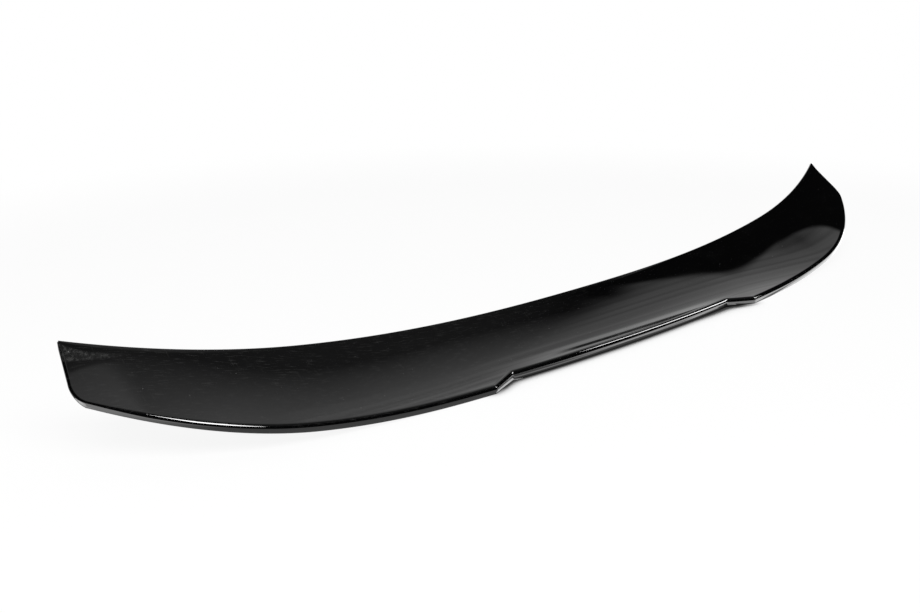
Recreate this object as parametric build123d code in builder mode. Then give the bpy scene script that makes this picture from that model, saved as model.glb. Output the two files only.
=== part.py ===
"""Boot-lip spoiler: one formed shell of gloss-black sheet plastic.

The shell lies as it rests on a table. X runs across the car, the trailing edge with its nose lies low
toward -Y, and the leading edge stands up toward +Y. Z = 0 is the table, and the origin is the middle of
the flat return that the spoiler rests on. Sizes are in millimetres, angles in degrees.
"""
import os
from math import asin, atan2, cos, degrees, hypot, radians, sin, sqrt, tan

from build123d import *

# Sheet and its edges
wall = 3.5
rim_radius = 5.0
foot_radius = 1.5

# Leading edge: bowed across the car, swept back further and lifted toward the two pointed tips
middle_chord = 86.5
leading_height = 44.5
tip_half_span = 600.0
leading_bow = 41.5
tip_sweep = 27.0
tip_sweep_run = 215.0
tip_rise = 59.0
rise_power = 2.8

# Trailing edge in plan: a long arc, a tighter arc at each end, then a rounded corner
trailing_radius = 2700.0
end_arc_run = 187.0
end_radius = 340.0
corner_overhang = 12.0
corner_radius = 20.0

# Nose along the trailing edge: level in the middle, lifted toward the corners
nose_height = 8.5
corner_nose_height = 5.5
level_half_span = 240.0
corner_lift = 56.5
lift_power = 2.5
nose_fade_run = 4.0

# Stepped recess in the middle of the trailing edge
recess_depth = 17.0
recess_inner_half = 186.0
recess_side_run = 38.0
recess_corner_radius = 8.0

# Hollow of the top skin, which flattens toward the ends, and the return under the nose, as seen from an end
hollow_radius = 175.0
end_hollow_radius = 500.0
return_depth = 72.0

# Allowance by which a form reaches past the line where it is trimmed, how near to its place an edge or a
# corner is looked for, and the sections that the forms are drawn at
trim = 20.0
pick_margin = 1.0
section_shares = [0.0, 0.2, 0.4, 0.55, 0.68, 0.8, 0.9, 1.0]
profile_shares = [0.0, 0.2, 0.4, 0.6, 0.8, 1.0]

corner_half_span = tip_half_span + corner_overhang
sweep_start = tip_half_span - tip_sweep_run
end_arc_start = corner_half_span - end_arc_run
nose_fade_start = corner_half_span - nose_fade_run
recess_outer_half = recess_inner_half + recess_side_run

return_back_y = return_depth / 2
recess_y = -return_depth / 2
trailing_y = recess_y - recess_depth
leading_y = recess_y + middle_chord
reach = max(corner_half_span, tip_half_span) + trim
top_height = leading_height + tip_rise + 2 * trim

trailing_centre_y = trailing_y + trailing_radius
end_arc_angle = degrees(asin(end_arc_start / trailing_radius))
end_centre_x = end_arc_start - end_radius * sin(radians(end_arc_angle))
end_centre_y = trailing_centre_y - (trailing_radius - end_radius) * cos(radians(end_arc_angle))
corner_angle = degrees(asin((corner_half_span - end_centre_x) / end_radius))


def mirrored(distances):
    """The same distances on both sides of the middle, from -X to +X."""
    return [-x for x in distances[:0:-1]] + distances


def trailing_edge_y(x):
    """Place of the trailing edge in plan, without the recess and straight on past the corner."""
    x = abs(x)
    if x <= end_arc_start:
        return trailing_centre_y - sqrt(trailing_radius**2 - x**2)
    on_arc = min(x, corner_half_span)
    past_corner = (x - on_arc) * tan(radians(corner_angle))
    return end_centre_y - sqrt(end_radius**2 - (on_arc - end_centre_x) ** 2) + past_corner


def lift_share(x):
    """Share of the corner lift that is reached at this distance from the middle."""
    return (max(abs(x) - level_half_span, 0.0) / (corner_half_span - level_half_span)) ** lift_power


def rim_height(x):
    """Height of the top skin at the trailing edge."""
    return nose_height + corner_lift * lift_share(x)


def under_height(x):
    """Height of the underside, which is level in the middle."""
    return (corner_lift + nose_height - corner_nose_height) * lift_share(x)


def leading_edge(x):
    """Place of the leading edge in plan, and its height."""
    share = abs(x) / tip_half_span
    swept = max(abs(x) - sweep_start, 0.0) / tip_sweep_run
    y = leading_y + leading_bow * share**2 + tip_sweep * swept**2
    return y, leading_height + tip_rise * share**rise_power


def skin_radius(x):
    """Radius of the hollow in the section at x."""
    return hollow_radius + (end_hollow_radius - hollow_radius) * lift_share(x)


def skin_arc(x):
    """Centre of the hollow arc in the section at x, with its slopes at the trailing and leading edges."""
    radius = skin_radius(x)
    rim_y, rim_z = trailing_edge_y(x), rim_height(x)
    lead_y, lead_z = leading_edge(x)
    chord = hypot(lead_y - rim_y, lead_z - rim_z)
    chord_slope = degrees(atan2(lead_z - rim_z, lead_y - rim_y))
    half_turn = degrees(asin(chord / 2 / radius))
    rim_slope = chord_slope - half_turn
    centre_y = rim_y - radius * sin(radians(rim_slope))
    centre_z = rim_z + radius * cos(radians(rim_slope))
    return (centre_y, centre_z), rim_slope, chord_slope + half_turn


def skin_height(x, y, drop):
    """Height of the top skin at a place in plan, lowered by drop square to the skin."""
    (centre_y, centre_z), *_ = skin_arc(x)
    return centre_z - sqrt((skin_radius(x) + drop) ** 2 - (y - centre_y) ** 2)


def form_under_skin(drop, overrun):
    """Solid from below the table up to the skin.

    The top surface is lowered by drop, square to the skin. The form ends in a face square to the skin, at
    the leading edge or past it by overrun, measured along the skin.
    """
    with BuildPart() as form:
        for x in mirrored([share * reach for share in section_shares]):
            centre, rim_slope, lead_slope = skin_arc(x)
            first = rim_slope - degrees(trim / skin_radius(x))
            last = lead_slope + degrees(overrun / skin_radius(x))
            with BuildSketch(Plane.YZ.offset(x)):
                with BuildLine():
                    skin = CenterArc(centre, skin_radius(x) + drop, first - 90, last - first)
                    edge = PolarLine(skin @ 1, trim, last - 90)
                    Polyline(edge @ 1, ((edge @ 1).X, -trim), ((skin @ 0).X, -trim), skin @ 0)
                make_face()
        loft()
    return form.part


def space_below(raised):
    """Draws the space below the underside in the X-Z plane, with its top edge raised by this much."""
    spans = [level_half_span + share * (reach - level_half_span) for share in profile_shares]
    rise = [(x, under_height(x) + raised) for x in spans]
    Line((-level_half_span, raised), (level_half_span, raised))
    end_slope = lift_power * under_height(reach) / (reach - level_half_span)
    right = Spline(rise, tangents=[(1, 0), (1, end_slope)])
    left = Spline([(-x, z) for x, z in rise], tangents=[(-1, 0), (-1, end_slope)])
    Polyline(right @ 1, (reach, -2 * trim), (-reach, -2 * trim), left @ 1)


def runs_along_foot(edge):
    """Whether an edge is one where the nose face meets the underside."""
    middle = edge @ 0.5
    above_foot = middle.Z - under_height(middle.X)
    behind_nose = middle.Y - trailing_edge_y(middle.X)
    return abs(above_foot) < pick_margin and behind_nose < recess_depth + pick_margin


# Plan of the recess, wider toward its mouth and open there
with BuildSketch() as recess:
    recess_radius = trailing_radius - recess_depth
    recess_angle = degrees(asin(recess_inner_half / recess_radius))
    with BuildLine():
        inner = CenterArc((0, trailing_centre_y), recess_radius, -90 - recess_angle, 2 * recess_angle)
        outer_corner = Vector(recess_outer_half, trailing_edge_y(recess_outer_half))
        mouth = outer_corner * 2 - inner @ 1
        Polyline(inner @ 1, mouth, (-mouth.X, mouth.Y), inner @ 0)
    make_face()

# Plan of the shell: the trailing edge, and the two ends drawn on past the tips
with BuildSketch() as outline:
    with BuildLine():
        end_turn = corner_angle - end_arc_angle
        left_end = CenterArc((-end_centre_x, end_centre_y), end_radius, -90 - corner_angle, end_turn)
        CenterArc((0, trailing_centre_y), trailing_radius, -90 - end_arc_angle, 2 * end_arc_angle)
        right_end = CenterArc((end_centre_x, end_centre_y), end_radius, -90 + end_arc_angle, end_turn)
        tip = Vector(tip_half_span, leading_edge(tip_half_span)[0])
        past_tip = tip + (tip - right_end @ 1).normalized() * trim
        Polyline(right_end @ 1, past_tip, (-past_tip.X, past_tip.Y), left_end @ 0)
    make_face()
    below_tips = outline.vertices().filter_by_position(Axis.Y, trailing_y, tip.Y)
    fillet(below_tips.filter_by(lambda v: abs(v.X) > corner_half_span - pick_margin), corner_radius)
    add(recess.sketch, mode=Mode.SUBTRACT)
    recess_reach = recess_outer_half + pick_margin
    fillet(outline.vertices().filter_by_position(Axis.X, -recess_reach, recess_reach), recess_corner_radius)

# Plan of the space under the skin: inside the nose, and open where the nose has faded out
corner_end = outline.vertices().filter_by_position(Axis.Y, trailing_y, tip.Y).sort_by(Axis.Y)[-1]
open_y = (trailing_edge_y(nose_fade_start) + corner_end.Y) / 2
with BuildSketch() as hollow_plan:
    offset(outline.sketch, amount=-wall)
    with Locations((0, open_y)):
        Rectangle(2 * reach, past_tip.Y + trim - open_y, align=(Align.CENTER, Align.MIN))

# Space under the skin, with the return left standing at its foot
skin_inside = form_under_skin(wall, trim)
with BuildPart() as hollow:
    add(skin_inside)
    extrude(hollow_plan.sketch, amount=top_height, both=True, mode=Mode.INTERSECT)
    with BuildSketch(Plane.XZ.offset(-return_back_y)):
        with BuildLine():
            space_below(wall)
        make_face()
    extrude(amount=top_height, mode=Mode.SUBTRACT)

skin_outside = form_under_skin(0, 0)
with BuildPart() as spoiler:
    add(skin_outside)
    extrude(outline.sketch, amount=top_height, both=True, mode=Mode.INTERSECT)
    with BuildSketch(Plane.XZ):
        with BuildLine():
            space_below(0)
        make_face()
    extrude(amount=top_height, both=True, mode=Mode.SUBTRACT)
    top_skin = spoiler.faces().sort_by(SortBy.AREA)[-1]
    fillet(top_skin.edges().sort_by(SortBy.LENGTH)[:-1], rim_radius)
    fillet(spoiler.edges().filter_by(runs_along_foot), foot_radius)
    fade_start = Vector(trailing_edge_y(nose_fade_start), under_height(nose_fade_start))
    fade_end = Vector(corner_end.Y, skin_height(corner_end.X, corner_end.Y, wall))
    fade = (fade_end - fade_start).normalized()
    for side in (-1, 1):
        with BuildSketch(Plane.YZ.offset(side * (nose_fade_start - trim))):
            with BuildLine():
                cut = Line(fade_start - fade * trim, fade_end + fade * trim)
                Polyline(cut @ 1, ((cut @ 1).X, -trim), ((cut @ 0).X, -trim), cut @ 0)
            make_face()
        extrude(amount=side * (reach + trim - nose_fade_start), mode=Mode.SUBTRACT)
    add(hollow.part, mode=Mode.SUBTRACT)

spoiler.part.label = "spoiler"
os.makedirs("parts", exist_ok=True)
export_step(spoiler.part, "parts/spoiler.step")
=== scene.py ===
"""Looks of a gloss-black boot-lip spoiler: moulded shell, finish, pale floor, studio light and camera.

Everything is in metres, in the part's own frame: X runs across the car, the trailing edge with its nose lies
low toward -Y, the leading edge stands up toward +Y, and Z = 0 is the floor.
"""
from __future__ import annotations

import logging
from dataclasses import dataclass
from enum import Enum
from math import asin, atan2, cos, pi, radians, sin, sqrt, tan
from typing import Callable, Iterable, Sequence, Union

import bmesh
import bpy
from mathutils import Matrix, Vector


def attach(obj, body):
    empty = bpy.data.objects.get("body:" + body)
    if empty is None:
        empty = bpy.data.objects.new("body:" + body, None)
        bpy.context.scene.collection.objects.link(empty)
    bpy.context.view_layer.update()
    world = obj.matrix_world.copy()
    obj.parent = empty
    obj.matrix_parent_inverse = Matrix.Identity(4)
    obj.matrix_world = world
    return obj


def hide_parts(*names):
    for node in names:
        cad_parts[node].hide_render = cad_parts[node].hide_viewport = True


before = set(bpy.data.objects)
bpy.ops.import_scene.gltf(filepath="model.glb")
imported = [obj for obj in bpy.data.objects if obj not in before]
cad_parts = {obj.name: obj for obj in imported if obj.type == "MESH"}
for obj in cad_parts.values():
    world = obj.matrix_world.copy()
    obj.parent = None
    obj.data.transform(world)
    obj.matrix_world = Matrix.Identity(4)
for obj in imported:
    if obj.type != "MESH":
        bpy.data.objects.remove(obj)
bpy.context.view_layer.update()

log = logging.getLogger("spoiler")

Number = Union[int, float]
Triple = tuple[float, float, float]
Point = Vector
Places = list[tuple[Point, Point]]
Surface = Callable[[Point], Point]
Curve = Callable[[float], Point]


class Ray(Enum):
    """Kinds of ray that a Light Path node tells apart."""

    CAMERA = "Is Camera Ray"
    GLOSSY = "Is Glossy Ray"
    TRANSMISSION = "Is Transmission Ray"


class Ease(Enum):
    """Ways in which a ramp goes from its low end to its high end."""

    SOFT = "SMOOTHSTEP"
    EVEN = "LINEAR"


class Side(Enum):
    """Sides of the nose's upright face that a surface can meet it on."""

    ABOVE = 1.0
    BELOW = -1.0


class Wire:
    """An output socket of a node tree, with the operators that add Math nodes."""

    def __init__(self, graph: Graph, socket: bpy.types.NodeSocket) -> None:
        """Keeps the socket and the graph that it belongs to."""
        self.graph = graph
        self.socket = socket

    def maths(self, operation: str, *others: Operand) -> Wire:
        """Adds one Math node, with this wire as its first operand."""
        return self.graph.maths(operation, self, *others)

    def __add__(self, other: Operand) -> Wire:
        """Sum."""
        return self.maths("ADD", other)

    __radd__ = __add__

    def __sub__(self, other: Operand) -> Wire:
        """Difference."""
        return self.maths("SUBTRACT", other)

    def __rsub__(self, other: Operand) -> Wire:
        """Difference, the other way round."""
        return self.graph.maths("SUBTRACT", other, self)

    def __mul__(self, other: Operand) -> Wire:
        """Product."""
        return self.maths("MULTIPLY", other)

    __rmul__ = __mul__

    def __pow__(self, other: Operand) -> Wire:
        """Power."""
        return self.maths("POWER", other)

    def __abs__(self) -> Wire:
        """Size without its sign."""
        return self.maths("ABSOLUTE")

    def at_least(self, low: Operand) -> Wire:
        """The larger of the value and a lower limit."""
        return self.maths("MAXIMUM", low)

    def at_most(self, high: Operand) -> Wire:
        """The smaller of the value and an upper limit."""
        return self.maths("MINIMUM", high)

    def clamped(self) -> Wire:
        """The value held between 0 and 1."""
        return self.graph.node("ShaderNodeClamp", inputs={"Value": self})

    def ramp(self, low: Number, high: Number, ease: Ease = Ease.SOFT) -> Wire:
        """Share of the way from low to high, held between 0 and 1.

        Args:
            low: Value that gives 0.
            high: Value that gives 1, which may be the smaller one.
            ease: How the ramp goes.

        Returns:
            The share.
        """
        settings = {"interpolation_type": ease.value, "clamp": True}
        inputs = {"Value": self, "From Min": low, "From Max": high}
        return self.graph.node("ShaderNodeMapRange", settings, inputs)


Operand = Union[Wire, Number]


class Graph:
    """A node tree that is filled by expressions."""

    def __init__(self, tree: bpy.types.NodeTree) -> None:
        """Empties the tree."""
        self.tree = tree
        tree.nodes.clear()

    @staticmethod
    def find(sockets: Iterable[bpy.types.NodeSocket], key: Union[str, int]) -> bpy.types.NodeSocket:
        """Finds one of a node's sockets.

        Args:
            sockets: The node's inputs or outputs.
            key: The socket's place, identifier or name.

        Returns:
            The first socket that fits.
        """
        listed = list(sockets)
        if isinstance(key, int):
            return listed[key]
        by_identifier = [s for s in listed if s.identifier == key]
        by_name = [s for s in listed if s.name == key and s.enabled]
        return (by_identifier + by_name)[0]

    def node(self, kind: str, settings: dict | None = None, inputs: dict | None = None,
             output: Union[str, int] = 0) -> Wire | None:
        """Adds one node.

        Args:
            kind: Blender's type name of the node.
            settings: Properties of the node, which are set first.
            inputs: Values or wires of its input sockets, by name, identifier or place.
            output: Which output is returned.

        Returns:
            The output as a wire, or None for a node that has no outputs.
        """
        made = self.tree.nodes.new(kind)
        for name, value in (settings or {}).items():
            setattr(made, name, value)
        for key, value in (inputs or {}).items():
            socket = self.find(made.inputs, key)
            if isinstance(value, Wire):
                self.tree.links.new(value.socket, socket)
            else:
                socket.default_value = value
        return Wire(self, self.find(made.outputs, output)) if len(made.outputs) else None

    def maths(self, operation: str, *operands: Operand) -> Wire:
        """Adds one Math node with these operands."""
        return self.node("ShaderNodeMath", {"operation": operation}, dict(enumerate(operands)))

    def stretched(self, vector: Wire, scale: Sequence[Number], turn: Number = 0.0) -> Wire:
        """A vector turned about Z by an angle and scaled."""
        inputs = {"Vector": vector, "Rotation": (0.0, 0.0, turn), "Scale": tuple(scale)}
        return self.node("ShaderNodeMapping", inputs=inputs)

    def noise(self, vector: Wire, scale: Number, detail: Number) -> Wire:
        """Soft noise between 0 and 1."""
        return self.node("ShaderNodeTexNoise", inputs={"Vector": vector, "Scale": scale, "Detail": detail})

    def axis(self, vector: Wire, name: str) -> Wire:
        """One of a vector's three parts."""
        return self.node("ShaderNodeSeparateXYZ", inputs={"Vector": vector}, output=name)

    def along(self, vector: Wire, direction: Triple) -> Wire:
        """A vector's length along a direction."""
        inputs = {0: vector, 1: direction}
        return self.node("ShaderNodeVectorMath", {"operation": "DOT_PRODUCT"}, inputs, "Value")

    def blend(self, share: Operand, first: Triple, second: Triple) -> Wire:
        """A colour between two colours."""
        inputs = {"Factor_Float": share, "A_Color": (*first, 1.0), "B_Color": (*second, 1.0)}
        return self.node("ShaderNodeMix", {"data_type": "RGBA"}, inputs, "Result_Color")

    def seen(self, *rays: Ray) -> Wire:
        """Tells whether a ray is one of some kinds.

        Args:
            rays: The kinds.

        Returns:
            1 for these kinds, 0 for others.
        """
        total = self.node("ShaderNodeLightPath", output=rays[0].value)
        for ray in rays[1:]:
            total = total + self.node("ShaderNodeLightPath", output=ray.value)
        return total.clamped()


@dataclass(frozen=True)
class Patches:
    """Soft noise cut to patches: its scale and detail, and the levels where a patch starts and is full."""

    scale: float
    detail: float
    start: float
    full: float

    def over(self, vector: Wire) -> Wire:
        """Cover between 0 and 1 over a field of positions."""
        return vector.graph.noise(vector, self.scale, self.detail).ramp(self.start, self.full)


@dataclass(frozen=True)
class GlossBlack:
    """Gloss-black moulded plastic with a thin film of dust, lint and fine hairline scratches."""

    # Colours, shine, and which faces count as the top and the underside
    name: str = "gloss_black_plastic"
    black: Triple = (0.0012, 0.0012, 0.0013)
    dust_grey: Triple = (0.155, 0.155, 0.153)
    gloss: float = 0.03
    satin: float = 0.38
    index: float = 1.5
    top_from: float = 0.2
    top_full: float = 0.7
    under_from: float = -0.05
    under_full: float = -0.3
    dusty: float = 0.5
    smudge: float = 0.04
    smudges: Patches = Patches(9.0, 5.0, 0.42, 0.75)

    # Scattered specks
    speck_pitch: float = 0.007
    speck_share: float = 0.3
    speck_cover: float = 0.7
    speck_size: float = 0.03
    speck_growth: float = 0.05
    speck_edge: float = 0.04

    # Lint near one tip, in a band that widens outward
    lint_start: float = -0.54
    lint_end: float = -0.585
    lint_foot: float = 0.083
    lint_climb: float = 0.09
    lint_width: float = 0.0022
    lint_spread: float = 48.0
    lint_power: float = 3.0
    lint_ease: float = 0.0008
    lint_crowding: float = 0.5
    lint_cover: float = 0.17
    lint_least: float = 0.2
    lint_patches: Patches = Patches(1 / 0.0026, 4.0, 0.42, 0.66)

    # Thin film of dust
    film_cover: float = 0.05
    film_stretch: Triple = (1.0, 2.5, 2.5)
    film_patches: Patches = Patches(22.0, 8.0, 0.5, 0.85)
    film_grain: Patches = Patches(900.0, 3.0, 0.45, 0.8)

    # Hairlines along the span, and a few across it
    line_roughness: float = 0.1
    line_grey: float = 0.06
    wipe_bow: float = 0.25
    wipe_run: float = 0.0125
    wipe_pitch: float = 0.001
    wiped_lines: Patches = Patches(1.0, 1.0, 0.56, 0.72)
    crossing_scale: Triple = (600.0, 60.0, 60.0)
    crossing_turn: float = radians(24.0)
    crossing_share: float = 0.6
    crossing_lines: Patches = Patches(1.0, 1.0, 0.68, 0.78)
    worn_from: float = 0.2
    worn_to: float = -0.2
    worn_patches: Patches = Patches(9.0, 3.0, 0.3, 0.55)

    # Waves of the moulded skin, and grain of the underside
    wave_pitch: float = 0.09
    wave_height: float = 0.00003
    grain_pitch: float = 0.0009
    grain_detail: float = 2.0
    grain_height: float = 0.00004

    def material(self) -> bpy.types.Material:
        """Builds the material.

        Returns:
            The finished material.
        """
        made = bpy.data.materials.new(self.name)
        made.use_nodes = True
        graph = Graph(made.node_tree)
        place = graph.node("ShaderNodeTexCoord", output="Object")
        facing_up = graph.axis(graph.node("ShaderNodeNewGeometry", output="Normal"), "Z")
        upward = facing_up.ramp(self.top_from, self.top_full)
        underside = facing_up.ramp(self.under_from, self.under_full)
        dust = (self.specks(place) * self.speck_cover + self.film(place)).clamped() * upward
        lines = self.hairlines(place) * upward
        smudges = self.smudges.over(place) * self.smudge
        shine = dust * self.dusty + smudges + lines * self.line_roughness + self.gloss
        waves = graph.noise(place, 1 / self.wave_pitch, 0.0) * self.wave_height
        grain = graph.noise(place, 1 / self.grain_pitch, self.grain_detail) * underside * self.grain_height
        relief = {"Strength": 1.0, "Distance": 1.0, "Height": waves + grain}
        greyed = (dust + lines * self.line_grey).clamped()
        surface = graph.node("ShaderNodeBsdfPrincipled", inputs={
            "Base Color": graph.blend(greyed, self.black, self.dust_grey),
            "Roughness": shine + underside * self.satin,
            "IOR": self.index,
            "Normal": graph.node("ShaderNodeBump", inputs=relief),
        })
        graph.node("ShaderNodeOutputMaterial", inputs={"Surface": surface})
        return made

    def specks(self, place: Wire) -> Wire:
        """Scattered specks, which crowd together as lint toward one end of the leading edge.

        Args:
            place: Position on the object.

        Returns:
            Cover between 0 and 1.
        """
        graph = place.graph
        inputs = {"Vector": place, "Scale": 1 / self.speck_pitch, "Randomness": 1.0}
        spread = graph.node("ShaderNodeTexVoronoi", inputs=inputs, output="Distance")
        lot = graph.axis(graph.node("ShaderNodeTexVoronoi", inputs=inputs, output="Color"), "X")
        crowded = lot + self.linty(place) * self.lint_crowding
        chosen = crowded.ramp(1 - self.speck_share, 1.0, Ease.EVEN)
        size = lot * self.speck_growth + self.speck_size
        return (size - spread).ramp(0.0, self.speck_edge) * chosen

    def linty(self, place: Wire) -> Wire:
        """Where the lint lies, along the leading edge near one tip.

        Args:
            place: Position on the object.

        Returns:
            Share between 0 and 1.
        """
        across = place.graph.axis(place, "X")
        outward = self.lint_start - across
        above = place.graph.axis(place, "Z") - (outward * self.lint_climb + self.lint_foot)
        below = outward**self.lint_power * self.lint_spread + self.lint_width - above
        band = above.ramp(-self.lint_ease, self.lint_ease) * below.ramp(-self.lint_ease, self.lint_ease)
        return across.ramp(self.lint_start, self.lint_end) * band

    def film(self, place: Wire) -> Wire:
        """A thin uneven film of dust, heaviest where the lint lies.

        Args:
            place: Position on the object.

        Returns:
            Cover between 0 and 1.
        """
        uneven = self.lint_patches.over(place) * (1 - self.lint_least) + self.lint_least
        lint = self.linty(place) * uneven * self.lint_cover
        wide = self.film_patches.over(place.graph.stretched(place, self.film_stretch))
        return lint + wide * self.film_grain.over(place) * self.film_cover

    def hairlines(self, place: Wire) -> Wire:
        """Fine scratches from wiping, most of them along the span and a few across it.

        Args:
            place: Position on the object.

        Returns:
            Strength of the scratches.
        """
        graph = place.graph
        across = graph.axis(place, "X")
        bowed = graph.axis(place, "Y") - across * across * self.wipe_bow
        wiped = graph.node("ShaderNodeCombineXYZ", inputs={
            "X": across * (1 / self.wipe_run),
            "Y": bowed * (1 / self.wipe_pitch),
        })
        crossing = graph.stretched(place, self.crossing_scale, self.crossing_turn)
        lines = self.wiped_lines.over(wiped) + self.crossing_lines.over(crossing) * self.crossing_share
        return lines * self.worn_patches.over(place) * across.ramp(self.worn_from, self.worn_to)


@dataclass(frozen=True)
class PaleFloor:
    """Plain white floor, with a faint shadow near the spoiler and a painted shade close under its recess."""

    name: str = "pale_floor"
    colour: Triple = (0.96, 0.96, 0.96)
    white: Triple = (1.0, 1.0, 1.0)
    painted_shade: Triple = (0.05, 0.05, 0.05)
    white_near: float = 0.9
    white_from: float = 0.8
    white_at: float = 1.3
    contact_samples: int = 16
    # Painted shade near the contact: ambient occlusion darkens the floor's colour, only under the middle
    contact_reach: float = 0.04
    contact_dark: float = 0.5
    contact_clear: float = 0.9
    contact_power: float = 1.6
    deep_power: float = 3.0
    deep_from: float = 0.1
    deep_to: float = 0.19
    contact_half_span: float = 0.2
    contact_ease: float = 0.045

    def material(self) -> bpy.types.Material:
        """Builds the material.

        Returns:
            The finished material.
        """
        made = bpy.data.materials.new(self.name)
        made.use_nodes = True
        graph = Graph(made.node_tree)
        place = graph.node("ShaderNodeNewGeometry", output="Position")
        distance = graph.node("ShaderNodeVectorMath", {"operation": "LENGTH"}, {0: place}, "Value")
        far = distance.ramp(self.white_from, self.white_at) * (1 - self.white_near) + self.white_near
        share = far * graph.seen(Ray.CAMERA, Ray.GLOSSY, Ray.TRANSMISSION)
        # Painted shade: ambient occlusion darkens both the lit colour and the white glow
        clear = self.clear(place)
        lit = graph.node("ShaderNodeBsdfPrincipled", inputs={
            "Base Color": graph.blend(clear, self.painted_shade, self.colour),
            "Roughness": 1.0,
            "Specular IOR Level": 0.0,
        })
        glow = graph.blend(clear, self.painted_shade, self.white)
        white = graph.node("ShaderNodeEmission", inputs={"Color": glow, "Strength": 1.0})
        surface = graph.node("ShaderNodeMixShader", inputs={0: share, 1: lit, 2: white})
        graph.node("ShaderNodeOutputMaterial", inputs={"Surface": surface})
        return made

    def clear(self, place: Wire) -> Wire:
        """How free the floor is of the painted close shade, which comes from ambient occlusion and deepens
        toward one end of the recess.

        Args:
            place: Position on the floor.

        Returns:
            Share between 0 and 1.
        """
        settings, inputs = {"samples": self.contact_samples}, {"Distance": self.contact_reach}
        open_sky = place.graph.node("ShaderNodeAmbientOcclusion", settings, inputs, "AO")
        across = place.graph.axis(place, "X")
        power = across.ramp(self.deep_from, self.deep_to) * self.deep_power + self.contact_power
        painted_shading = 1 - open_sky.ramp(self.contact_dark, self.contact_clear, Ease.EVEN) ** power
        outside = self.contact_half_span + self.contact_ease
        return 1 - painted_shading * abs(across).ramp(outside, self.contact_half_span)


@dataclass(frozen=True)
class Station:
    """One place along the outline, with the place on the leading edge that lies across from it."""

    foot: Point
    facing: Point
    lead_x: float

    def mirrored(self) -> Station:
        """The same place on the other half."""
        foot, facing = Vector((-self.foot.x, self.foot.y)), Vector((-self.facing.x, self.facing.y))
        return Station(foot, facing, -self.lead_x)


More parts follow.
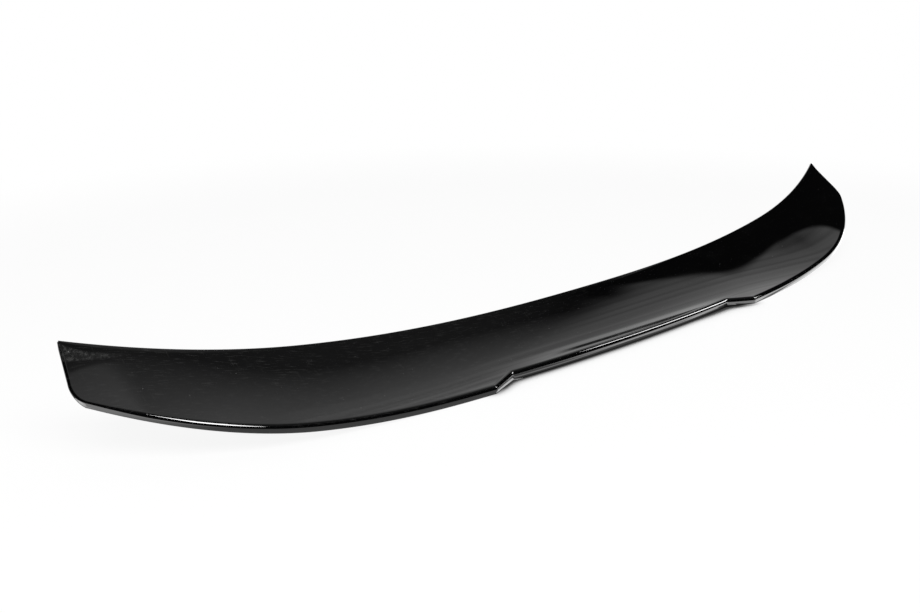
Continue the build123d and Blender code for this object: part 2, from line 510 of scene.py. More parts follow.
@dataclass(frozen=True)
class ShellForm:
    """Sizes of the shell, and the curves that follow from them."""

    # Sheet and its edges
    wall: float = 0.0035
    rim_radius: float = 0.005
    side_rim_radius: float = 0.0028
    fine_rim_from: float = 0.565
    foot_radius: float = 0.0015
    cut_edge_radius: float = 0.0007

    # Leading edge
    middle_chord: float = 0.0865
    leading_height: float = 0.0445
    tip_half_span: float = 0.6
    leading_bow: float = 0.0415
    tip_sweep: float = 0.027
    tip_sweep_run: float = 0.215
    tip_rise: float = 0.059
    rise_power: float = 2.8

    # Trailing edge in plan
    trailing_radius: float = 2.7
    end_arc_run: float = 0.187
    end_radius: float = 0.34
    corner_overhang: float = 0.012
    corner_radius: float = 0.020

    # Nose along the trailing edge
    nose_height: float = 0.0085
    corner_nose_height: float = 0.0055
    level_half_span: float = 0.24
    corner_lift: float = 0.0565
    lift_power: float = 2.5
    nose_fade_run: float = 0.004
    nose_fade_reach: float = 0.035

    # Stepped recess in the middle
    recess_depth: float = 0.017
    recess_inner_half: float = 0.186
    recess_side_run: float = 0.038
    recess_corner_radius: float = 0.008

    # Hollow of the top skin, the return, and the step over which a slope is measured
    hollow_radius: float = 0.175
    end_hollow_radius: float = 0.5
    return_depth: float = 0.072
    slope_step: float = 0.0001

    @property
    def corner_half_span(self) -> float:
        """Distance of a corner from the middle, before it is rounded."""
        return self.tip_half_span + self.corner_overhang

    @property
    def end_arc_start(self) -> float:
        """Where the tighter arc of the trailing edge starts."""
        return self.corner_half_span - self.end_arc_run

    @property
    def return_back_y(self) -> float:
        """Back edge of the return."""
        return self.return_depth / 2

    @property
    def trailing_y(self) -> float:
        """The trailing arc at the middle, before the recess is taken out."""
        return -self.return_depth / 2 - self.recess_depth

    @property
    def trailing_centre(self) -> Point:
        """Centre of the long arc of the trailing edge."""
        return Vector((0.0, self.trailing_y + self.trailing_radius))

    @property
    def end_centre(self) -> Point:
        """The tighter arc at the end.

        Returns:
            Its centre in plan.
        """
        turn = asin(self.end_arc_start / self.trailing_radius)
        inward = self.trailing_radius - self.end_radius
        return self.trailing_centre + Vector((sin(turn), -cos(turn))) * inward

    def trailing_edge_y(self, x: float) -> float:
        """Place of the trailing edge in plan, without the recess and straight on past the corner.

        Args:
            x: Distance from the middle, on either side.

        Returns:
            The place along Y.
        """
        x = abs(x)
        if x <= self.end_arc_start:
            return self.trailing_centre.y - sqrt(self.trailing_radius**2 - x**2)
        centre = self.end_centre
        on_arc = min(x, self.corner_half_span)
        rise = sqrt(self.end_radius**2 - (on_arc - centre.x) ** 2)
        return centre.y - rise + (x - on_arc) * (on_arc - centre.x) / rise

    def lift_share(self, x: float) -> float:
        """Share of the corner lift at this distance from the middle."""
        run = self.corner_half_span - self.level_half_span
        return (max(abs(x) - self.level_half_span, 0.0) / run) ** self.lift_power

    def under_height(self, x: float) -> float:
        """Height of the underside, which is level in the middle."""
        return (self.corner_lift + self.nose_height - self.corner_nose_height) * self.lift_share(x)

    def leading_edge(self, x: float) -> Point:
        """Place of the leading edge.

        Args:
            x: Distance from the middle, on either side.

        Returns:
            The place.
        """
        share = abs(x) / self.tip_half_span
        swept = max(abs(x) - self.tip_half_span + self.tip_sweep_run, 0.0) / self.tip_sweep_run
        leading_y = self.middle_chord - self.return_depth / 2
        y = leading_y + self.leading_bow * share**2 + self.tip_sweep * swept**2
        return Vector((x, y, self.leading_height + self.tip_rise * share**self.rise_power))

    def skin_radius(self, x: float) -> float:
        """Radius of the hollow in the section at x, which flattens toward the ends."""
        return self.hollow_radius + (self.end_hollow_radius - self.hollow_radius) * self.lift_share(x)

    def skin_arc(self, x: float) -> tuple[Point, float]:
        """The hollow arc of the skin in the section at x.

        Args:
            x: Distance from the middle.

        Returns:
            The arc's centre in Y and Z, and its slope at the leading edge.
        """
        rim = Vector((self.trailing_edge_y(x), self.nose_height + self.corner_lift * self.lift_share(x)))
        across = self.leading_edge(x).yz - rim
        radius = self.skin_radius(x)
        slope = atan2(across.y, across.x)
        half_turn = asin(across.length / 2 / radius)
        rim_slope = slope - half_turn
        centre = rim + Vector((-sin(rim_slope), cos(rim_slope))) * radius
        return centre, slope + half_turn

    def skin(self, place: Point, drop: float = 0.0) -> Point:
        """The skin above a place in plan.

        Args:
            place: The place in plan.
            drop: How far the skin is lowered, square to itself.

        Returns:
            The place on the skin.
        """
        centre, _ = self.skin_arc(place.x)
        height = centre.y - sqrt((self.skin_radius(place.x) + drop) ** 2 - (place.y - centre.x) ** 2)
        return Vector((place.x, place.y, height))

    def on_arc(self, x: float, back: float, drop: float) -> Point:
        """A place near the leading edge.

        Args:
            x: Distance from the middle.
            back: Distance back along the skin from the leading edge.
            drop: Depth below the skin.

        Returns:
            The place.
        """
        centre, slope = self.skin_arc(x)
        turn = slope - back / self.skin_radius(x)
        radius = self.skin_radius(x) + drop
        return Vector((x, centre.x + radius * sin(turn), centre.y - radius * cos(turn)))

    def underside(self, place: Point) -> Point:
        """The underside of the nose, which fades into the sheet past the corner.

        Args:
            place: The place in plan.

        Returns:
            The place on the underside.
        """
        sheet = self.skin(place, self.wall).z
        height = self.under_height(place.x)
        start_x = self.corner_half_span - self.nose_fade_run
        if abs(place.x) > start_x - self.nose_fade_reach:
            start = Vector((self.trailing_edge_y(start_x), self.under_height(start_x)))
            corner = self.side_start
            end = Vector((corner.y, self.skin(corner, self.wall).z))
            slope = (end.y - start.y) / (end.x - start.x)
            height = max(height, start.y + (place.y - start.x) * slope)
        return Vector((place.x, place.y, min(height, sheet)))

    @property
    def tip(self) -> Point:
        """The pointed tip in plan."""
        return self.leading_edge(self.tip_half_span).xy

    @property
    def side_direction(self) -> Point:
        """Direction in plan of the side that runs from the corner up to the tip."""
        corner = Vector((self.corner_half_span, self.trailing_edge_y(self.corner_half_span)))
        return (self.tip - corner).normalized()

    @property
    def corner_centre(self) -> Point:
        """The rounded corner, which touches the end arc and the side.

        Returns:
            Its centre in plan.
        """
        run = self.side_direction
        inward = Vector((-run.y, run.x))
        offset = self.tip + inward * self.corner_radius - self.end_centre
        half = offset.dot(run)
        reach = (self.end_radius - self.corner_radius) ** 2
        back = half + sqrt(half**2 - offset.length_squared + reach)
        return self.end_centre + offset - run * back

    @property
    def side_start(self) -> Point:
        """Where the rounded corner meets the side."""
        run = self.side_direction
        return self.corner_centre + Vector((run.y, -run.x)) * self.corner_radius

    def slope_of(self, surface: Surface, place: Point) -> Point:
        """A surface's upward normal.

        Args:
            surface: Gives the surface above a place in plan.
            place: The place in plan.

        Returns:
            The unit normal.
        """
        step_x, step_y = Vector((self.slope_step, 0.0)), Vector((0.0, self.slope_step))
        along_x = surface(place + step_x) - surface(place - step_x)
        along_y = surface(place + step_y) - surface(place - step_y)
        return along_x.cross(along_y).normalized()


@dataclass(frozen=True)
class Outline:
    """The shell's outline in plan, from the left tip along the trailing edge to the right tip."""

    form: ShellForm
    long_step: float = 0.005
    corner_steps: int = 6
    slant_steps: int = 8
    end_corner_steps: int = 14
    side_steps: int = 18
    fan_start: float = 0.53
    tip_gap: float = 0.0014

    def stations(self) -> list[Station]:
        """All places along the outline, from the left tip to the right tip."""
        right = self.with_leads(self.right_half())
        return [s.mirrored() for s in reversed(right[1:])] + right

    def sweep(self, centre: Point, radius: float, first: float, last: float,
              steps: int | None = None) -> Places:
        """Places on an arc of the nose, with the way that each faces.

        Args:
            centre: Centre of the arc in plan.
            radius: Radius of the arc.
            first: Angle of the first place, from -Y toward +X.
            last: Angle of the last place.
            steps: Number of steps, or None for the usual step.

        Returns:
            Pairs of a place and a facing.
        """
        count = steps or max(2, round(abs(last - first) * radius / self.long_step))
        turns = [first + (last - first) * k / count for k in range(count + 1)]
        facings = [Vector((sin(turn), -cos(turn))) for turn in turns]
        return [(centre + facing * radius, facing) for facing in facings]

    def bend(self, corner: Point, before: Point, after: Point, radius: float) -> Places:
        """Places round a small corner of the recess.

        Args:
            corner: The sharp corner in plan.
            before: Direction of travel before the corner.
            after: Direction of travel after it.
            radius: Radius of the corner.

        Returns:
            Pairs of a place and a facing.
        """
        turn = before.angle_signed(after)
        start = corner - before * radius * tan(abs(turn) / 2)
        side = Vector((before.y, -before.x)) * (1.0 if turn > 0 else -1.0)
        places = []
        for k in range(self.corner_steps + 1):
            part = abs(turn) * k / self.corner_steps
            place = start + before * radius * sin(part) + side * radius * (1 - cos(part))
            heading = before * cos(part) + side * sin(part)
            places.append((place, Vector((heading.y, -heading.x))))
        return places

    def right_half(self) -> Places:
        """Places of the right half.

        Returns:
            Pairs of a place and a facing, from the middle to the tip.
        """
        form = self.form
        centre = form.trailing_centre
        recess_radius = form.trailing_radius - form.recess_depth
        inner_turn = asin(form.recess_inner_half / recess_radius)
        outer_turn = asin((form.recess_inner_half + form.recess_side_run) / form.trailing_radius)
        end_turn = asin(form.end_arc_start / form.trailing_radius)
        inner_corner = centre + Vector((sin(inner_turn), -cos(inner_turn))) * recess_radius
        outer_corner = centre + Vector((sin(outer_turn), -cos(outer_turn))) * form.trailing_radius
        side = (outer_corner - inner_corner).normalized()
        along_inner = Vector((cos(inner_turn), sin(inner_turn)))
        along_outer = Vector((cos(outer_turn), sin(outer_turn)))
        inner = self.bend(inner_corner, along_inner, side, form.recess_corner_radius)
        outer = self.bend(outer_corner, side, along_outer, form.recess_corner_radius)
        inner_start = asin(inner[0][0].x / recess_radius)
        outer_end = asin(outer[-1][0].x / form.trailing_radius)
        facing = Vector((side.y, -side.x))
        slant_shares = [k / self.slant_steps for k in range(1, self.slant_steps)]
        to_corner = form.corner_centre - form.end_centre
        corner_turn = atan2(to_corner.x, -to_corner.y)
        side_facing = Vector((form.side_direction.y, -form.side_direction.x))
        last_turn = atan2(side_facing.x, -side_facing.y)
        near_tip = form.tip - form.side_direction * self.tip_gap
        side_shares = [k / self.side_steps for k in range(1, self.side_steps + 1)]
        return [
            *self.sweep(centre, recess_radius, 0.0, inner_start)[:-1],
            *inner,
            *[(inner[-1][0].lerp(outer[0][0], share), facing) for share in slant_shares],
            *outer,
            *self.sweep(centre, form.trailing_radius, outer_end, end_turn)[1:-1],
            *self.sweep(form.end_centre, form.end_radius, end_turn, corner_turn)[:-1],
            *self.sweep(form.corner_centre, form.corner_radius, corner_turn, last_turn,
                        self.end_corner_steps),
            *[(form.side_start.lerp(near_tip, share), side_facing) for share in side_shares],
        ]

    def with_leads(self, places: Places) -> list[Station]:
        """Gives each place its partner on the leading edge.

        Args:
            places: Pairs of a place and a facing, from the middle to the tip.

        Returns:
            The stations. They lie straight across until the fan starts, and close up on the tip after that.
        """
        first = next(k for k, (place, _) in enumerate(places) if place.x > self.fan_start)
        runs = [0.0]
        for (one, _), (two, _) in zip(places[first:], places[first + 1:]):
            runs.append(runs[-1] + (two - one).length)
        start_x = places[first][0].x
        reach = self.form.tip_half_span - self.tip_gap - start_x
        heading = places[first][1]
        power = runs[-1] * abs(heading.y) / reach
        leads = [place.x for place, _ in places[:first]]
        leads += [start_x + reach * (1 - (1 - run / runs[-1]) ** power) for run in runs]
        return [Station(place, facing, lead) for (place, facing), lead in zip(places, leads)]


@dataclass(frozen=True)
class Shell:
    """The moulded shell: a closed mesh of rings, one ring round the section at each station."""

    form: ShellForm
    outline: Outline
    finish: GlossBlack
    name: str = "spoiler_shell"
    node: str = "spoiler"

    # Rows of the mesh
    skin_rows: int = 26
    rim_rows: int = 8
    nose_rows: int = 4
    foot_rows: int = 4
    return_rows: int = 6
    wall_rows: int = 3
    inside_rows: int = 16
    edge_rows: int = 3
    row_crowding: float = 1.3

    # Limits for the narrow sections near the tips: most of the width or the height, and least slants
    rim_share: float = 0.3
    cut_edge_share: float = 0.1
    foot_share: float = 0.5
    wall_share: float = 0.6
    wall_slant: float = 0.3
    return_slant: float = 0.1

    # Steps of a search, and what counts as alike, as a crease and as one point
    rim_halvings: int = 24
    same_angle: float = 0.000001
    crease: float = radians(32.0)
    merge_distance: float = 0.000002

    def build(self) -> bpy.types.Object:
        """Builds the shell and stands it in for the frame's solid.

        Returns:
            The finished object.
        """
        made = bpy.data.objects.new(self.name, self.mesh())
        bpy.context.scene.collection.objects.link(made)
        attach(made, "root")
        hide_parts(self.node)
        self.dress(made)
        return made

    def dress(self, made: bpy.types.Object) -> None:
        """Gives the shell its finish."""
        made.data.materials.append(self.finish.material())

    def mesh(self) -> bpy.types.Mesh:
        """Joins the rings to a closed mesh.

        Returns:
            The mesh, smooth but for its creases.
        """
        rings = [self.ring(station) for station in self.outline.stations()]
        work = bmesh.new()
        rows = [[work.verts.new(place) for place in ring] for ring in rings]
        count = len(rows[0])
        for one, two in zip(rows, rows[1:]):
            for k in range(count):
                following = (k + 1) % count
                work.faces.new((one[k], one[following], two[following], two[k]))
        work.faces.new(reversed(rows[0]))
        work.faces.new(rows[-1])
        bmesh.ops.remove_doubles(work, verts=work.verts[:], dist=self.merge_distance)
        bmesh.ops.dissolve_degenerate(work, edges=work.edges[:], dist=self.merge_distance)
        bmesh.ops.recalc_face_normals(work, faces=work.faces[:])
        for face in work.faces:
            face.smooth = True
        for edge in work.edges:
            edge.smooth = edge.calc_face_angle(pi) < self.crease
        data = bpy.data.meshes.new(self.name)
        work.to_mesh(data)
        work.free()
        return data

    def turned(self, first: Point, last: Point, share: float) -> Point:
        """Turns one unit vector toward another.

        Args:
            first: The vector at share 0.
            last: The vector at share 1.
            share: Share of the way.

        Returns:
            The unit vector.
        """
        angle = first.angle(last)
        if angle < self.same_angle:
            return last.copy()
        return (first * sin((1 - share) * angle) + last * sin(share * angle)) / sin(angle)

    def rounding(self, station: Station, surface: Surface, radius: float, side: Side) -> Curve:
        """A rounded edge between a surface and the upright face of the outline.

        Args:
            station: Place on the outline.
            surface: The surface, above a place in plan.
            radius: Radius of the rounding.
            side: Side of the face that the surface meets it on.

        Returns:
            A function that gives the place at a share of the way from the surface to the upright face.
        """
        facing = station.facing.to_3d()
        normal = self.form.slope_of(surface, station.foot - station.facing * radius) * side.value
        inset = radius * (1 - normal.dot(facing))
        touch = surface(station.foot - station.facing * inset)
        centre = touch - normal * radius
        return lambda share: centre + self.turned(normal, facing, share) * radius

    def rim_radius(self, station: Station) -> float:
        """Radius of the rim, which gets finer toward the corners and the sides.

        Args:
            station: Place on the outline.

        Returns:
            The radius.
        """
        form = self.form
        share = (abs(station.foot.x) - form.fine_rim_from) / (form.tip_half_span - form.fine_rim_from)
        return form.rim_radius + (form.side_rim_radius - form.rim_radius) * min(max(share, 0.0), 1.0)

    def rim_end(self, edge: Curve) -> float:
        """Share of the rim's rounding that is left where the sheet is thinner than the rounding is deep.

        Args:
            edge: The rim's rounding.

        Returns:
            The share at which it meets the underside, or 1 where it ends on the nose.
        """
        low, high = 0.0, 1.0
        if edge(high).z >= self.form.underside(edge(high).xy).z:
            return high
        for _ in range(self.rim_halvings):
            middle = (low + high) / 2
            above = edge(middle).z > self.form.underside(edge(middle).xy).z
            low, high = (middle, high) if above else (low, middle)
        return low

    def section(self, station: Station) -> tuple[Point, float]:
        """Direction in plan from a station to its place on the leading edge, and the distance."""
        across = self.form.leading_edge(station.lead_x).xy - station.foot
        return across / across.length, across.length

    def ring(self, station: Station) -> list[Point]:
        """The closed line round the section at a station.

        Args:
            station: Place on the outline.

        Returns:
            Places from the leading edge over the skin, down the nose, along the return and back inside.
        """
        _, width = self.section(station)
        edge_radius = min(self.form.cut_edge_radius, self.cut_edge_share * width)
        edge = self.form.on_arc(station.lead_x, edge_radius, 0.0)
        nose = self.nose(station)
        skin = [edge]
        for k in range(1, self.skin_rows):
            share = 1 - (1 - k / self.skin_rows) ** self.row_crowding
            skin.append(self.form.skin(edge.xy.lerp(nose[0].xy, share)))
        inner = self.inner_side(station, nose[-1], edge_radius)
        return [*skin, *nose, *inner, *self.cut_edge(station.lead_x, edge_radius)]

    def nose(self, station: Station) -> list[Point]:
        """The rounded rim, the upright face and the rounded foot of the nose.

        Args:
            station: Place on the outline.

        Returns:
            Places from the skin down to the underside.
        """
        form = self.form
        _, width = self.section(station)
        rim_radius = min(self.rim_radius(station), self.rim_share * width)
        rim_edge = self.rounding(station, form.skin, rim_radius, Side.ABOVE)
        rim_end = self.rim_end(rim_edge)
        rim = [rim_edge(rim_end * k / self.rim_rows) for k in range(self.rim_rows + 1)]
        room = max(rim[-1].z - form.underside(station.foot).z, 0.0)
        foot_radius = min(form.foot_radius, self.foot_share * room)
        foot_edge = self.rounding(station, form.underside, foot_radius, Side.BELOW)
        foot = [foot_edge(1 - k / self.foot_rows) for k in range(self.foot_rows + 1)]
        if rim_end < 1:
            foot = [rim[-1].copy() for _ in foot]
        face = [rim[-1].lerp(foot[0], k / self.nose_rows) for k in range(1, self.nose_rows)]
        return [*rim, *face, *foot]

    def inner_side(self, station: Station, start: Point, edge_radius: float) -> list[Point]:
        """The return under the nose, the wall inside the nose and the inside of the skin.

        Args:
            station: Place on the outline.
            start: Where the return starts, at the foot of the nose.
            edge_radius: Radius of the eased leading edge.

        Returns:
            Places from the foot of the nose to the underside of the leading edge.
        """
        form = self.form
        across, width = self.section(station)
        slant = max(-across.dot(station.facing), self.wall_slant)
        wall_reach = min(form.wall / slant, self.wall_share * width)
        back_run = (form.return_back_y - station.foot.y) / max(across.y, self.return_slant)
        return_reach = max(back_run, wall_reach)
        thick = form.wall * min((return_reach - wall_reach) / form.wall, 1.0)
        shares = [k / self.return_rows for k in range(1, self.return_rows + 1)]
        back = station.foot + across * return_reach
        bottom = [form.underside(start.xy.lerp(back, share)) for share in shares]
        reaches = [return_reach + (wall_reach - return_reach) * share for share in [0.0, *shares]]
        top = [self.raised(station.foot + across * reach, thick) for reach in reaches]
        ceiling = form.skin(station.foot + across * reaches[-1], form.wall)
        wall = [top[-1].lerp(ceiling, k / self.wall_rows) for k in range(1, self.wall_rows + 1)]
        inner_edge = form.on_arc(station.lead_x, edge_radius, form.wall)
        inside = [form.skin(ceiling.xy.lerp(inner_edge.xy, k / self.inside_rows), form.wall)
                  for k in range(1, self.inside_rows)]
        return [*bottom, *top, *wall, *inside]

    def raised(self, place: Point, thick: float) -> Point:
        """The upper face of the return, which ends at the skin.

        Args:
            place: The place in plan.
            thick: Thickness of the return.

        Returns:
            The place on the upper face.
        """
        point = self.form.underside(place)
        point.z = min(point.z + thick, self.form.skin(place, self.form.wall).z)
        return point

    def cut_edge(self, x: float, radius: float) -> list[Point]:
        """The square-cut edge of the sheet along the leading edge, with both corners eased.

        Args:
            x: Distance from the middle.
            radius: Radius of the eased corners.

        Returns:
            Places from the underside up to the skin.
        """
        form = self.form
        _, slope = form.skin_arc(x)
        ahead = Vector((0.0, cos(slope), sin(slope)))
        upward = Vector((0.0, -sin(slope), cos(slope)))
        places = []
        for depth, first, last in ((form.wall - radius, -upward, ahead), (radius, ahead, upward)):
            centre = form.on_arc(x, radius, depth)
            places += [centre + self.turned(first, last, k / self.edge_rows) * radius
                       for k in range(self.edge_rows + 1)]
        return places[:-1]


@dataclass(frozen=True)
class Floor:
    """The floor that the spoiler lies on."""

    finish: PaleFloor
    name: str = "floor"
    half_side: float = 9.0

    def build(self) -> bpy.types.Object:
        """Builds the floor as part of the stage.

        Returns:
            The floor.
        """
        reach = self.half_side
        data = bpy.data.meshes.new(self.name)
        corners = [(-reach, -reach, 0.0), (reach, -reach, 0.0), (reach, reach, 0.0), (-reach, reach, 0.0)]
        data.from_pydata(corners, [], [(0, 1, 2, 3)])
        made = bpy.data.objects.new(self.name, data)
        bpy.context.scene.collection.objects.link(made)
        made.data.materials.append(self.finish.material())
        return made


@dataclass(frozen=True)
class Studio:
    """The room round the spoiler, by direction: a bright screen, a soft ceiling above it, and dark walls."""

    # Screen
    name: str = "studio"
    screen_edge: Triple = (-0.602, 0.444, 0.663)
    screen_from: float = -0.032
    screen_to: float = -0.014
    drape_edge: Triple = (0.0, 1.0, 2.7)
    drape_from: float = 1.83
    drape_to: float = 1.90
    drape_low: float = 0.64
    drape_high: float = 0.67
    screen: float = 0.45
    screen_gain: float = 0.5
    screen_foot: float = 0.58
    screen_foot_gain: float = 2.2
    screen_foot_most: float = 0.5
    left_from: float = 0.1
    left_to: float = 0.35
    back_edge: Triple = (-0.364, 0.872, 0.326)
    back_from: float = 0.1
    back_to: float = 0.14
    wall: float = 0.006

    # Dark seam, the bright band along it, and streaks
    seam_edge: Triple = (-0.245, 0.867, -0.434)
    seam_core: float = 0.010
    seam_fade: float = 0.021
    seam_left: float = 0.708
    seam_right: float = 0.795
    seam_ease: float = 0.01
    seam_depth: float = 0.95
    band_core: float = 0.032
    band_fade: float = 0.075
    band_left: float = 0.655
    band_full: float = 0.72
    band_gain: float = 1.0
    streak_pitch: float = 0.03
    streak_run: float = 0.2
    streak_detail: float = 2.0
    streak_middle: float = 0.5
    streak_gain: float = 1.1

    # Ceiling
    overhead_from: float = 0.08
    overhead_to: float = 0.096
    overhead_low: float = 0.89
    overhead_high: float = 0.935
    overhead_gain: float = 0.3
    overhead_most: float = 0.68
    ceiling: float = 0.115
    ceiling_left: float = -0.3
    ceiling_right: float = 0.0
    ceiling_from: float = 0.66
    ceiling_to: float = 0.78
    glow_from: float = 0.03
    glow_gain: float = 1.9
    glow_most: float = 0.56
    blend_from: float = 0.61
    blend_to: float = 0.70

    def build(self) -> bpy.types.World:
        """Builds the world.

        Returns:
            The world, plain white to the camera.
        """
        world = bpy.data.worlds.new(self.name)
        world.use_nodes = True
        bpy.context.scene.world = world
        graph = Graph(world.node_tree)
        direction = graph.node("ShaderNodeTexCoord", output="Generated")
        above = graph.axis(direction, "Z").ramp(self.blend_from, self.blend_to)
        light = self.screen_light(direction) * (1 - above) + self.ceiling_light(direction) * above
        white = graph.seen(Ray.CAMERA)
        shown = white + (1 - white) * light
        sky = graph.node("ShaderNodeBackground", inputs={"Color": shown, "Strength": 1.0})
        graph.node("ShaderNodeOutputWorld", inputs={"Surface": sky})
        return world

    def screen_light(self, direction: Wire) -> Wire:
        """Light of the screen, with its drape and seam, and of the walls beside it.

        Args:
            direction: Direction from the spoiler.

        Returns:
            The light.
        """
        graph = direction.graph
        height = graph.axis(direction, "Z")
        behind = graph.along(direction, self.back_edge)
        side = graph.along(direction, self.screen_edge).ramp(self.screen_from, self.screen_to)
        lit = side.at_least(behind.ramp(self.back_from, self.back_to))
        lit = lit * graph.axis(direction, "X").ramp(self.left_from, self.left_to)
        drape = graph.along(direction, self.drape_edge).ramp(self.drape_to, self.drape_from)
        lit = lit * (1 - drape * height.ramp(self.drape_low, self.drape_high))
        foot = (self.screen_foot - height) * self.screen_foot_gain
        foot = foot.at_least(0.0).at_most(self.screen_foot_most)
        level = behind * self.screen_gain + foot + self.screen
        uneven = self.streaks(direction) * self.seam(direction)
        return lit * uneven * level + (1 - lit) * self.wall

    def ceiling_light(self, direction: Wire) -> Wire:
        """Light of the ceiling, which glows toward the back and is dark toward the left.

        Args:
            direction: Direction from the spoiler.

        Returns:
            The light.
        """
        graph = direction.graph
        height = graph.axis(direction, "Z")
        behind = graph.along(direction, self.back_edge)
        overhead = behind.ramp(self.overhead_from, self.overhead_to)
        overhead = overhead * height.ramp(self.overhead_low, self.overhead_high)
        glow = ((behind - self.glow_from) * self.glow_gain).at_least(0.0).at_most(self.glow_most)
        glow = (glow + overhead * self.overhead_gain).at_most(self.overhead_most)
        light = height.ramp(self.ceiling_from, self.ceiling_to) * self.ceiling + glow
        return light * graph.axis(direction, "X").ramp(self.ceiling_left, self.ceiling_right) + self.wall

    def streaks(self, direction: Wire) -> Wire:
        """Soft streaks that lie along the seam.

        Args:
            direction: Direction from the spoiler.

        Returns:
            Factor of the screen's light, near 1.
        """
        graph = direction.graph
        across = graph.along(direction, self.seam_edge) * (1 / self.streak_pitch)
        along = graph.axis(direction, "X") * (1 / self.streak_run)
        place = graph.node("ShaderNodeCombineXYZ", inputs={"X": across, "Y": along})
        return (graph.noise(place, 1.0, self.streak_detail) - self.streak_middle) * self.streak_gain + 1

    def seam(self, direction: Wire) -> Wire:
        """The thin dark seam near the foot of the screen, with a bright band along it.

        Args:
            direction: Direction from the spoiler.

        Returns:
            Factor of the screen's light, which is 1 away from the seam.
        """
        beside = abs(direction.graph.along(direction, self.seam_edge))
        right = direction.graph.axis(direction, "X")
        after = right.ramp(self.seam_left - self.seam_ease, self.seam_left + self.seam_ease)
        before = right.ramp(self.seam_right + self.seam_ease, self.seam_right - self.seam_ease)
        bright = right.ramp(self.band_left, self.band_full) * before * self.band_gain
        band = beside.ramp(self.band_fade, self.band_core) * bright + 1
        return band * (1 - beside.ramp(self.seam_fade, self.seam_core) * after * before * self.seam_depth)


@dataclass(frozen=True, kw_only=True)
class Softbox:
    """A soft lamp that faces a point from a direction, and may fade along its width from dark to full."""

    name: str
    azimuth: float
    elevation: float
    width: float
    height: float
    power: float
    aim: Triple = (0.0, 0.0, 0.03)
    distance: float = 2.5
    in_reflections: bool = True
    on_surfaces: bool = True
    dark_at: float = 0.0
    full_at: float = 0.0

    def build(self) -> bpy.types.Object:
        """Builds the lamp.

        Returns:
            The lamp.
        """
        data = bpy.data.lights.new(self.name, "AREA")
        data.shape = "RECTANGLE"
        data.size = self.width
        data.size_y = self.height
        data.energy = self.power
        made = bpy.data.objects.new(self.name, data)
        turn, rise = radians(self.azimuth), radians(self.elevation)
        toward = Vector((sin(turn) * cos(rise), cos(turn) * cos(rise), sin(rise)))
        made.location = Vector(self.aim) + toward * self.distance
        made.rotation_euler = toward.to_track_quat("Z", "Y").to_euler()
        if self.dark_at != self.full_at:
            self.fade(data)
        made.visible_camera = False
        made.visible_glossy = self.in_reflections
        made.visible_diffuse = self.on_surfaces
        bpy.context.scene.collection.objects.link(made)
        return made

    def fade(self, data: bpy.types.AreaLight) -> None:
        """Makes the lamp fade along its width.

        Args:
            data: The lamp's data.
        """
        data.use_nodes = True
        graph = Graph(data.node_tree)
        across = graph.axis(graph.node("ShaderNodeNewGeometry", output="Parametric"), "X")
        light = graph.node("ShaderNodeEmission", inputs={"Color": across.ramp(self.dark_at, self.full_at)})
        graph.node("ShaderNodeOutputLight", inputs={"Surface": light})


@dataclass(frozen=True, kw_only=True)
class Card(Softbox):
    """A bright card that lies on the floor, faces up and shows in reflections only.

    A card that is turned is also tipped by a hair, because its azimuth has no effect on one that lies flat.
    """

    azimuth: float = 0.0
    elevation: float = -90.0
    distance: float = 0.4995
    on_surfaces: bool = False


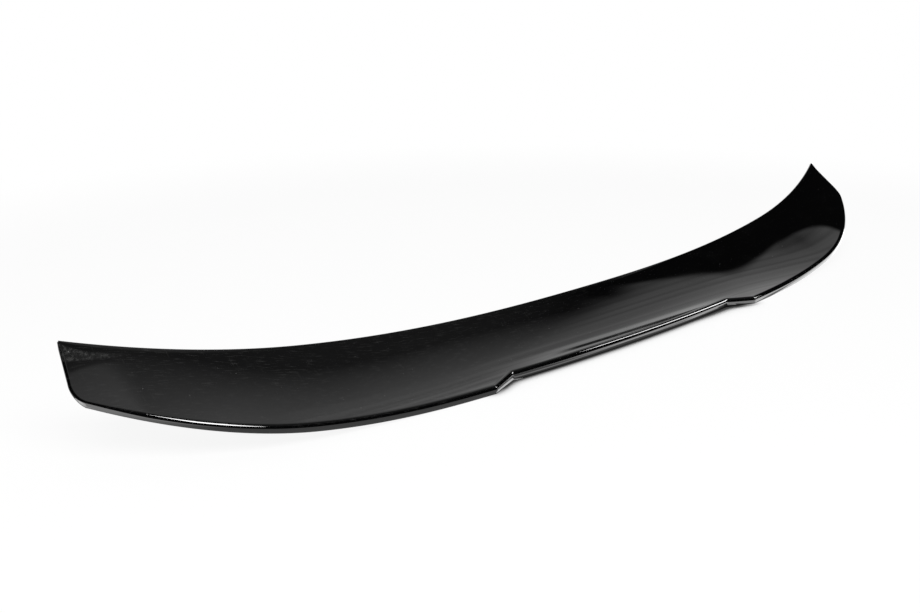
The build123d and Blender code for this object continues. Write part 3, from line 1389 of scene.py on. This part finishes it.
LAMPS: tuple[Softbox, ...] = (
    Softbox(name="left_softbox", azimuth=173.0, elevation=49.5, width=0.93, height=0.8, power=75.0,
            aim=(-0.52, 0.0, 0.04), on_surfaces=False),
    Softbox(name="right_strip", azimuth=109.5, elevation=33.0, width=0.27, height=1.02, power=20.0,
            aim=(0.08, -0.04, 0.01), on_surfaces=False),
    Card(name="right_card", width=1.13, height=0.2855, power=3.017, aim=(0.435, -0.18725, 0.5),
         dark_at=1.0, full_at=0.89),
    Card(name="recess_card", width=0.1, height=0.005, power=0.0047, aim=(0.15, -0.042, 0.5),
         dark_at=1.0, full_at=0.6),
    Card(name="left_line", azimuth=2.4, elevation=-89.9, width=0.178, height=0.0026, power=0.0024,
         aim=(-0.089, -0.0423, 0.5)),
    Card(name="right_line", azimuth=-2.4, elevation=-89.9, width=0.178, height=0.0026, power=0.003,
         aim=(0.089, -0.0423, 0.5)),
    Card(name="end_card", width=0.74, height=0.0995, power=0.69, aim=(0.63, 0.01025, 0.5)),
    Card(name="notch_card", azimuth=-20.9, elevation=-89.9, width=0.055, height=0.0036, power=0.0016,
         aim=(-0.1964, -0.038, 0.5)),
    Card(name="left_card", width=0.5, height=0.5, power=2.4, aim=(-0.77, -0.15, 0.5),
         dark_at=0.0, full_at=0.4),
    Card(name="corner_card", azimuth=90.0, elevation=-89.9, width=0.16, height=0.25, power=0.8,
         aim=(-0.825, 0.08, 0.5), distance=0.499, dark_at=-0.386, full_at=0.44),
    Softbox(name="front_fill", azimuth=215.0, elevation=45.0, width=3.6, height=1.4, power=125.0,
            distance=3.2, in_reflections=False),
)


@dataclass(frozen=True)
class Viewpoint:
    """The camera, with its angles in degrees."""

    name: str = "camera"
    eye: Triple = (-1.0701, -0.8724, 0.4564)
    heading: float = 43.795
    dip: float = 17.158
    roll: float = -0.205
    lens_mm: float = 50.0
    sensor_mm: float = 36.0
    clip_start: float = 0.01

    def build(self) -> bpy.types.Object:
        """Builds the camera and makes it the scene's own.

        Returns:
            The camera.
        """
        data = bpy.data.cameras.new(self.name)
        data.lens = self.lens_mm
        data.sensor_width = self.sensor_mm
        data.sensor_fit = "HORIZONTAL"
        data.clip_start = self.clip_start
        made = bpy.data.objects.new(self.name, data)
        heading, dip, roll = radians(self.heading), radians(self.dip), radians(self.roll)
        ahead = Vector((sin(heading) * cos(dip), cos(heading) * cos(dip), -sin(dip)))
        level = Vector((cos(heading), -sin(heading), 0.0))
        down = ahead.cross(level)
        right = level * cos(roll) + down * sin(roll)
        above = level * sin(roll) - down * cos(roll)
        turn = Matrix((right, above, -ahead)).transposed().to_4x4()
        made.matrix_world = Matrix.Translation(self.eye) @ turn
        bpy.context.scene.collection.objects.link(made)
        bpy.context.scene.camera = made
        return made


def main() -> None:
    """Builds the shell, the floor, the light and the camera in order."""
    logging.basicConfig(level=logging.INFO, format="%(name)s: %(message)s")
    bpy.context.scene.view_settings.view_transform = "Standard"
    form = ShellForm()
    shell = Shell(form, Outline(form), GlossBlack()).build()
    log.info("%s: %d faces", shell.name, len(shell.data.polygons))
    floor = Floor(PaleFloor()).build()
    log.info("%s: %.0f m wide", floor.name, floor.dimensions.x)
    world = Studio().build()
    log.info("world %s", world.name)
    for lamp in LAMPS:
        log.info("lamp %s", lamp.build().name)
    log.info("camera %s", Viewpoint().build().name)


if __name__ == "__main__":
    main()
